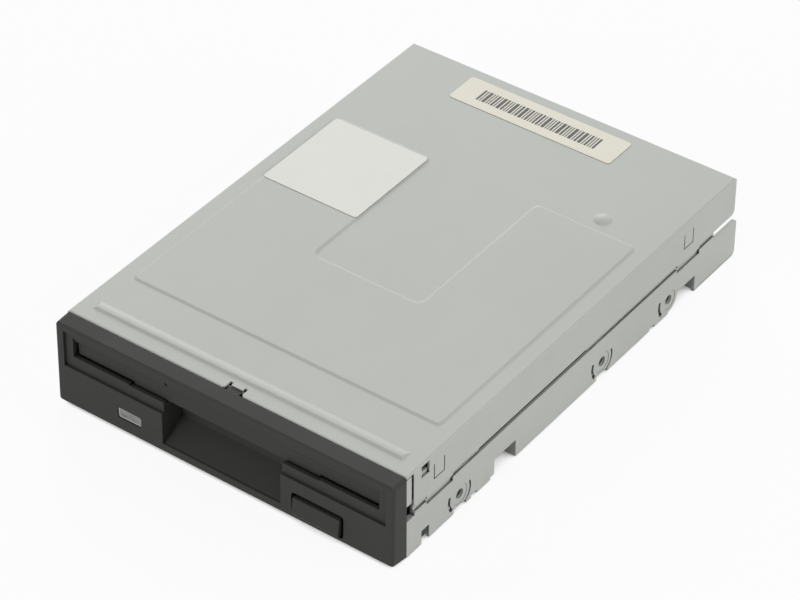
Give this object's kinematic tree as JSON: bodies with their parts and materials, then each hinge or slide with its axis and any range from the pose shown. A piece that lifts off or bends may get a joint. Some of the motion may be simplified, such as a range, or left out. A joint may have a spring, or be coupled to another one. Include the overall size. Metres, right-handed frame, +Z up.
{
  "type": "floppy disk drive",
  "caption": "Slim 3.5-inch floppy disk drive with bezel, dust flap, eject button, lamp window and folded steel cover; hinged flap, lowering disk holder, spindle and head carriage.",
  "frame": {"origin": "under the middle of the whole drive, on the plane that it stands on", "axes": "+X to the right seen from the front, +Y from the bezel to the rear, +Z up"},
  "size_m": [0.1016, 0.1488, 0.0258],
  "materials": {
    "galvanised_steel": "matt zinc coated sheet with a faint grain",
    "bezel_plastic": "fine satin grain",
    "smoked_lens": "clear grey, polished",
    "white_label": "matt",
    "cream_label": "matt, with plain bars",
    "spring_steel": "drawn wire",
    "plated_steel": "pressed and zinc plated",
    "turned_steel": "ground",
    "board_green": "solder mask",
    "chip_black": "moulded",
    "connector_black": "moulded",
    "contact_brass": "plated",
    "copper_winding": "enamelled wire",
    "bearing_bronze": "sintered",
    "ferrite": "dull",
    "cast_alloy": "die cast",
    "head_ceramic": "polished",
    "capacitor_can": "drawn",
    "lamp_resin": "clear green resin",
    "switch_plastic": "moulded",
    "plunger_plastic": "moulded"
  },
  "bodies": {
    "frame": {"chassis": "galvanised_steel", "top_cover": "galvanised_steel", "plain_label": "white_label", "bar_label": "cream_label", "front_bezel": "bezel_plastic", "lamp_lens": "smoked_lens", "lamp": "lamp_resin", "slider_guides": "turned_steel", "eject_spring_right": "spring_steel", "eject_spring_left": "spring_steel", "motor_board": "board_green", "motor_chip": "chip_black", "bearing_bush": "bearing_bronze", "stator_core": "plated_steel", "stator_coils": "copper_winding", "index_sensor": "chip_black", "guide_rod": "turned_steel", "rod_clamps": "plated_steel", "stepper_can": "plated_steel", "stepper_bracket": "plated_steel", "track_sensor": "switch_plastic", "main_board": "board_green", "control_chip": "chip_black", "small_chips": "chip_black", "capacitors": "capacitor_can", "signal_header": "connector_black", "signal_pins": "contact_brass", "power_header": "connector_black", "power_pins": "contact_brass", "sensor_boards": "board_green", "switch_blocks": "switch_plastic", "board_screws": "turned_steel", "motor_screws": "turned_steel", "bracket_screws": "turned_steel", "clamp_screws": "turned_steel"},
    "flap": {"dust_flap": "bezel_plastic", "flap_spring": "spring_steel"},
    "slider": {"eject_slider": "plated_steel", "eject_button": "bezel_plastic"},
    "holder": {"disk_holder": "plated_steel", "holder_pins": "turned_steel", "latch_pivot": "turned_steel"},
    "lever": {"latch_lever": "plated_steel", "latch_spring": "spring_steel"},
    "spindle": {"rotor_cup": "plated_steel", "ring_magnet": "ferrite", "spindle_shaft": "turned_steel", "chuck_plate": "plated_steel", "drive_pin": "turned_steel"},
    "carriage": {"head_carriage": "cast_alloy", "lower_head": "head_ceramic", "arm_pivot_pin": "turned_steel", "arm_spring": "spring_steel"},
    "arm": {"upper_head_arm": "cast_alloy", "upper_head": "head_ceramic"},
    "screw": {"lead_screw": "turned_steel"},
    "write_protect": {"write_protect_plunger": "plunger_plastic"},
    "disk_in": {"disk_in_plunger": "plunger_plastic"},
    "density": {"density_plunger": "plunger_plastic"}
  },
  "joints": [
    {"name": "flap_turn", "type": "hinge", "parent": "frame", "child": "flap", "pos_m": [0, -0.0691, 0.0214], "axis": [1, 0, 0], "range_deg": [0, 90], "stiffness_Nm_per_rad": 0.0008, "springref_deg": -22.92},
    {"name": "eject_slide", "type": "slide", "parent": "frame", "child": "slider", "axis": [0, -1, 0], "range_m": [0, 0.006], "deforming": ["eject_spring_right", "eject_spring_left"]},
    {"name": "holder_drop", "type": "slide", "parent": "frame", "child": "holder", "axis": [0, 0, -1], "range_m": [0, 0.003]},
    {"name": "latch_turn", "type": "hinge", "parent": "holder", "child": "lever", "pos_m": [-0.04, -0.0027, 0.0207], "axis": [0, 0, 1], "range_deg": [0, 50]},
    {"name": "spindle_spin", "type": "hinge", "parent": "frame", "child": "spindle", "pos_m": [0, -0.0167, 0.0054], "axis": [0, 0, 1], "continuous": true},
    {"name": "carriage_slide", "type": "slide", "parent": "frame", "child": "carriage", "axis": [0, -1, 0], "range_m": [0, 0.0148]},
    {"name": "arm_drop", "type": "hinge", "parent": "carriage", "child": "arm", "pos_m": [0, 0.0553, 0.02], "axis": [1, 0, 0], "range_deg": [0, 7.9]},
    {"name": "lead_screw_turn", "type": "hinge", "parent": "frame", "child": "screw", "pos_m": [-0.024, 0.0272, 0.0106], "axis": [0, 1, 0], "range_deg": [0, 1790]},
    {"name": "write_protect_press", "type": "slide", "parent": "frame", "child": "write_protect", "axis": [0, 0, -1], "range_m": [0, 0.0012], "stiffness_N_per_m": 150, "springref_m": -0.0008},
    {"name": "disk_in_press", "type": "slide", "parent": "frame", "child": "disk_in", "axis": [0, 0, -1], "range_m": [0, 0.0012], "stiffness_N_per_m": 150, "springref_m": -0.0008},
    {"name": "density_press", "type": "slide", "parent": "frame", "child": "density", "axis": [0, 0, -1], "range_m": [0, 0.0012], "stiffness_N_per_m": 150, "springref_m": -0.0008}
  ],
  "couplings": [
    {"joint": "holder_drop", "follows": "eject_slide", "ratio": 0.5},
    {"joint": "latch_turn", "follows": "eject_slide", "rad_per_m": 145.44},
    {"joint": "arm_drop", "follows": "eject_slide", "rad_per_m": 22.98},
    {"joint": "lead_screw_turn", "follows": "carriage_slide", "rad_per_m": 2094.4}
  ]
}
